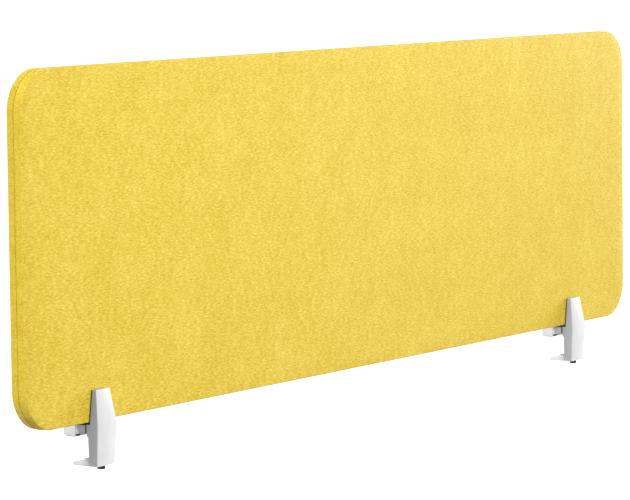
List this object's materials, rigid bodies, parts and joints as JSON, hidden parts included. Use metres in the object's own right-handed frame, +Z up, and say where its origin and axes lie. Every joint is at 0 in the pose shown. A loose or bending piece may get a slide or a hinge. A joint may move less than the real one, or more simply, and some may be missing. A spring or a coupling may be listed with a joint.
{
  "type": "desk screen",
  "caption": "Upholstered desk screen with round corners and a sewn edge seam, held above a desk's edge by screw clamps with sliding jaws.",
  "frame": {"origin": "middle of the desk's front edge, in the plane of the desk top, under the middle of the panel's length", "axes": "+X along the desk's edge and the panel's length, +Y in over the desk, +Z up"},
  "size_m": [1.4, 0.0476, 0.4545],
  "materials": {
    "yellow_fabric": "heathered felt-like wool cloth",
    "yellow_seam": "sewn seam",
    "fibreboard": "raw fibreboard",
    "foam": "open foam",
    "white_paint": "white powder coat, satin",
    "black_rubber": "matt",
    "grey_silicone": "matt",
    "black_steel": "black oxide"
  },
  "bodies": {
    "screen": {"core_board": "fibreboard", "front_foam": "foam", "rear_foam": "foam", "front_cover": "yellow_fabric", "rear_cover": "yellow_fabric", "seam_cord": "yellow_seam", "left_clamp_body": "white_paint", "left_front_pad": "black_rubber", "left_shelf_pad_front": "black_rubber", "right_clamp_body": "white_paint", "right_front_pad": "black_rubber", "right_shelf_pad_front": "black_rubber"},
    "left_lower_jaw": {"left_lower_jaw": "white_paint", "left_jaw_pad": "grey_silicone"},
    "left_clamp_screw": {"left_clamp_screw": "black_steel"},
    "left_rear_jaw": {"left_rear_jaw": "white_paint", "left_rear_pad": "black_rubber", "left_shelf_pad_rear": "black_rubber", "left_keeper_plate": "white_paint", "left_desk_pad": "grey_silicone", "left_buffer_outer": "black_rubber", "left_buffer_inner": "black_rubber"},
    "left_lock_screw_outer": {"left_lock_screw_outer": "black_steel"},
    "left_lock_screw_inner": {"left_lock_screw_inner": "black_steel"},
    "right_lower_jaw": {"right_lower_jaw": "white_paint", "right_jaw_pad": "grey_silicone"},
    "right_clamp_screw": {"right_clamp_screw": "black_steel"},
    "right_rear_jaw": {"right_rear_jaw": "white_paint", "right_rear_pad": "black_rubber", "right_shelf_pad_rear": "black_rubber", "right_keeper_plate": "white_paint", "right_desk_pad": "grey_silicone", "right_buffer_outer": "black_rubber", "right_buffer_inner": "black_rubber"},
    "right_lock_screw_outer": {"right_lock_screw_outer": "black_steel"},
    "right_lock_screw_inner": {"right_lock_screw_inner": "black_steel"}
  },
  "joints": [
    {"name": "left_jaw_lift", "type": "slide", "parent": "screen", "child": "left_lower_jaw", "axis": [0, 0, 1], "range_m": [0, 0.014]},
    {"name": "left_screw_turn", "type": "hinge", "parent": "left_lower_jaw", "child": "left_clamp_screw", "pos_m": [-0.5665, -0.0046, -0.0325], "axis": [0, 0, 1], "range_deg": [0, 6301]},
    {"name": "left_grip_open", "type": "slide", "parent": "screen", "child": "left_rear_jaw", "axis": [0, 1, 0], "range_m": [0, 0.006]},
    {"name": "left_lock_outer_turn", "type": "hinge", "parent": "left_rear_jaw", "child": "left_lock_screw_outer", "pos_m": [-0.5815, 0.0151, 0.0039], "axis": [0, 0, 1], "range_deg": [-180, 0]},
    {"name": "left_lock_inner_turn", "type": "hinge", "parent": "left_rear_jaw", "child": "left_lock_screw_inner", "pos_m": [-0.5515, 0.0151, 0.0039], "axis": [0, 0, 1], "range_deg": [-180, 0]},
    {"name": "right_jaw_lift", "type": "slide", "parent": "screen", "child": "right_lower_jaw", "axis": [0, 0, 1], "range_m": [0, 0.014]},
    {"name": "right_screw_turn", "type": "hinge", "parent": "right_lower_jaw", "child": "right_clamp_screw", "pos_m": [0.544, -0.0046, -0.0325], "axis": [0, 0, 1], "range_deg": [0, 6301]},
    {"name": "right_grip_open", "type": "slide", "parent": "screen", "child": "right_rear_jaw", "axis": [0, 1, 0], "range_m": [0, 0.006]},
    {"name": "right_lock_outer_turn", "type": "hinge", "parent": "right_rear_jaw", "child": "right_lock_screw_outer", "pos_m": [0.529, 0.0151, 0.0039], "axis": [0, 0, 1], "range_deg": [-180, 0]},
    {"name": "right_lock_inner_turn", "type": "hinge", "parent": "right_rear_jaw", "child": "right_lock_screw_inner", "pos_m": [0.559, 0.0151, 0.0039], "axis": [0, 0, 1], "range_deg": [-180, 0]}
  ],
  "couplings": [
    {"joint": "left_screw_turn", "follows": "left_jaw_lift", "rad_per_m": 7854},
    {"joint": "right_screw_turn", "follows": "right_jaw_lift", "rad_per_m": 7854}
  ]
}
